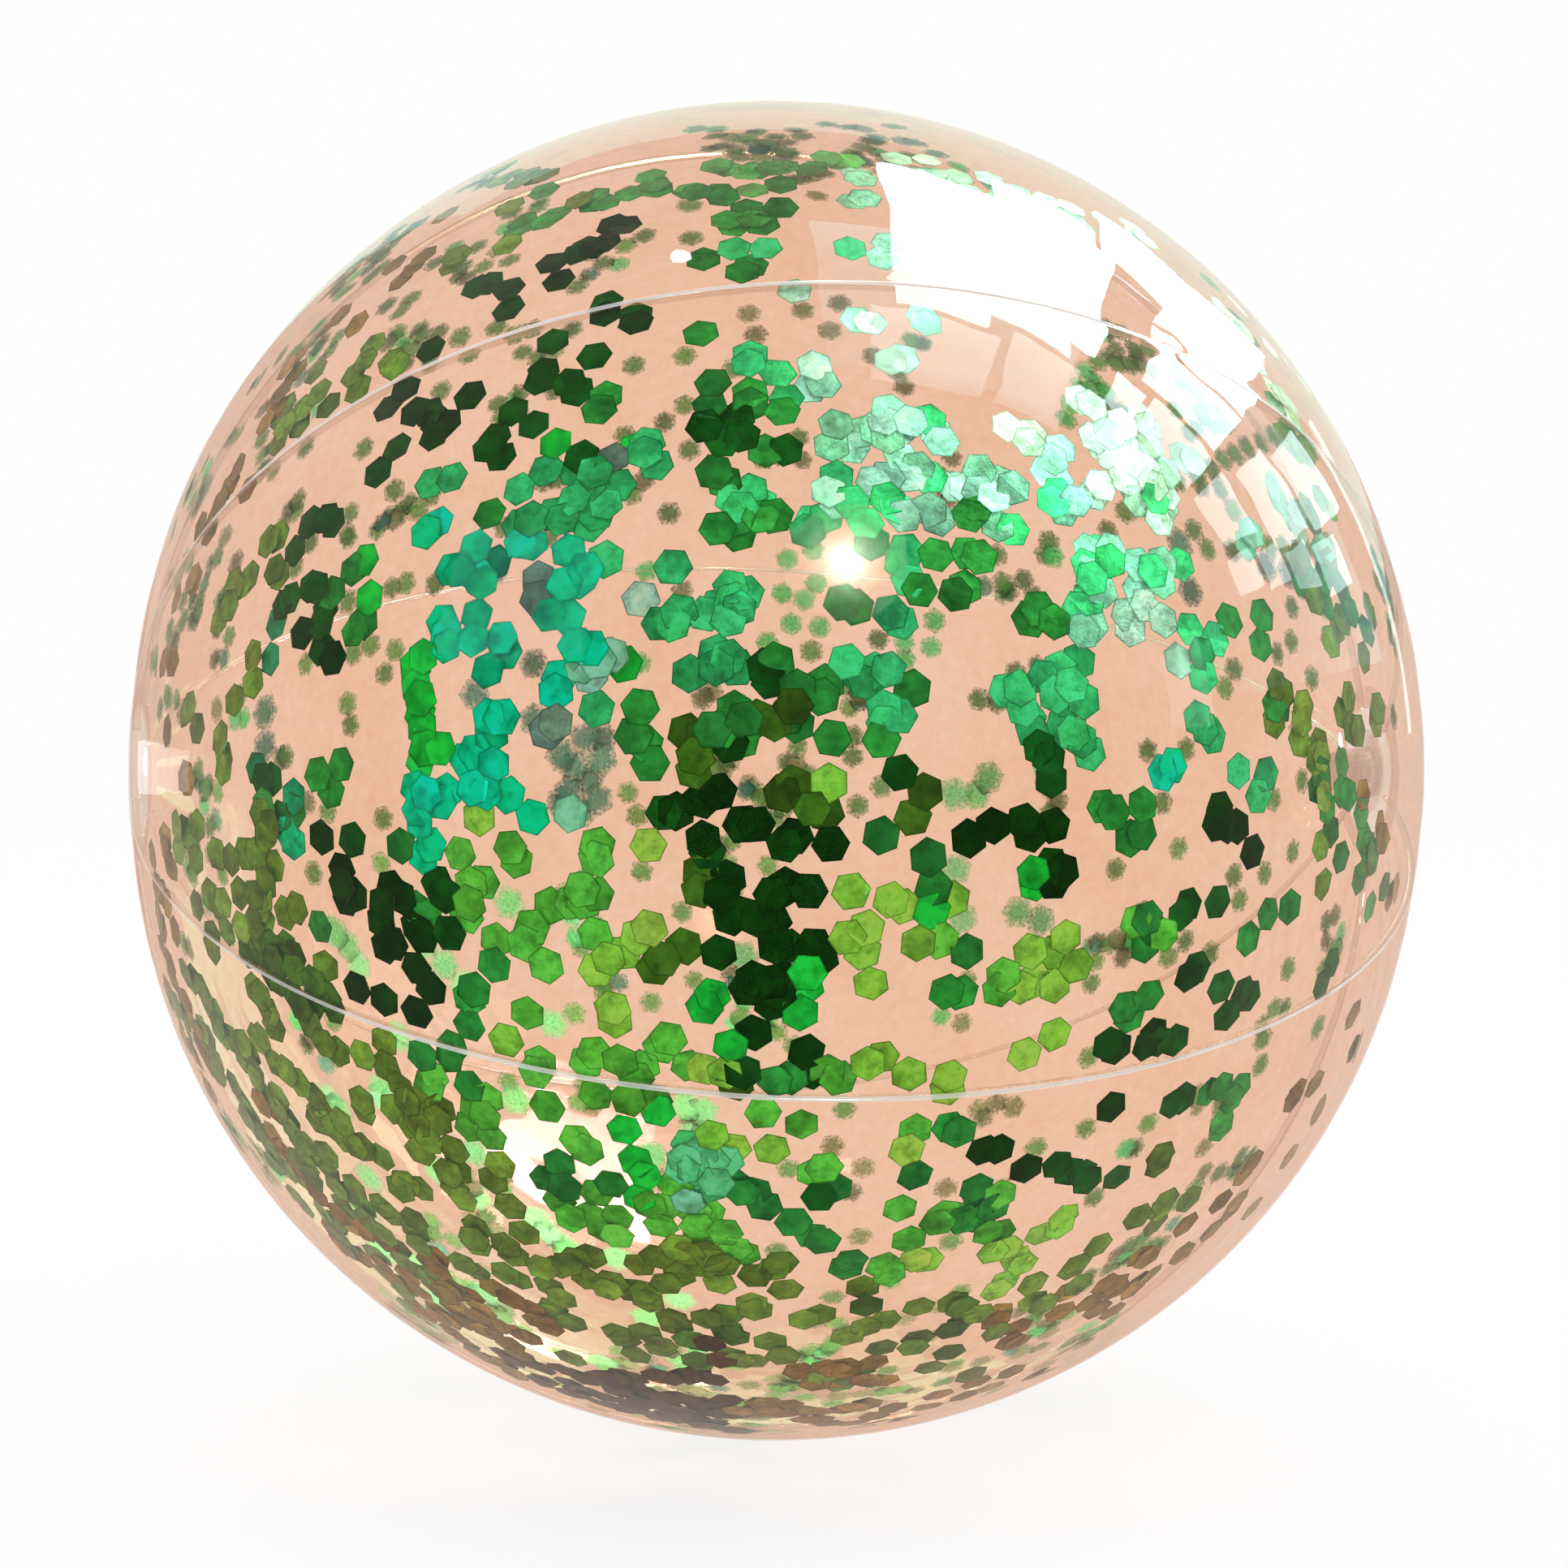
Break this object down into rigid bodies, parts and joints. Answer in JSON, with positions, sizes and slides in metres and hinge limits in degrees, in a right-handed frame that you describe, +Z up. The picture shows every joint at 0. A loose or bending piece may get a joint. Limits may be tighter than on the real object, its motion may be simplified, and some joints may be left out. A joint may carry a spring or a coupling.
{
  "type": "inflatable beach ball",
  "caption": "Clear inflatable beach ball of welded gores and end discs, with loose metallic green flakes inside and a push-in valve.",
  "frame": {"origin": "the inflated ball's centre", "axes": "+X along the pole axis, out of the disc with the valve; +Z up; -Y towards the front"},
  "size_m": [0.3853, 0.3998, 0.3986],
  "materials": {
    "clear_film": "clear glossy vinyl with a light peach tint",
    "valve_plastic": "clear soft vinyl, thicker than the film",
    "flake_film": "metallic green foil"
  },
  "bodies": {
    "ball": {"panel_1": "clear_film", "panel_2": "clear_film", "panel_3": "clear_film", "panel_4": "clear_film", "panel_5": "clear_film", "panel_6": "clear_film", "end_disc_plain": "clear_film", "end_disc_valve": "clear_film", "valve_collar": "valve_plastic", "valve_web": "valve_plastic", "glitter_1": "flake_film", "glitter_2": "flake_film", "glitter_3": "flake_film", "glitter_4": "flake_film", "glitter_5": "flake_film", "glitter_6": "flake_film", "glitter_loose": "flake_film"},
    "stem": {"valve_stem": "valve_plastic"},
    "stopper": {"stopper": "valve_plastic"},
    "flap": {"check_flap": "valve_plastic"}
  },
  "joints": [
    {"name": "valve_slide", "type": "slide", "parent": "ball", "child": "stem", "axis": [1, 0, 0], "range_m": [0, 0.0104], "deforming": ["valve_web"]},
    {"name": "stopper_hinge", "type": "hinge", "parent": "stem", "child": "stopper", "pos_m": [0.19284, 0, 0.0105], "axis": [0, -1, 0], "range_deg": [0, 150]},
    {"name": "flap_hinge", "type": "hinge", "parent": "stem", "child": "flap", "pos_m": [0.17849, 0, 0.0052], "axis": [0, 1, 0], "range_deg": [0, 40]}
  ]
}
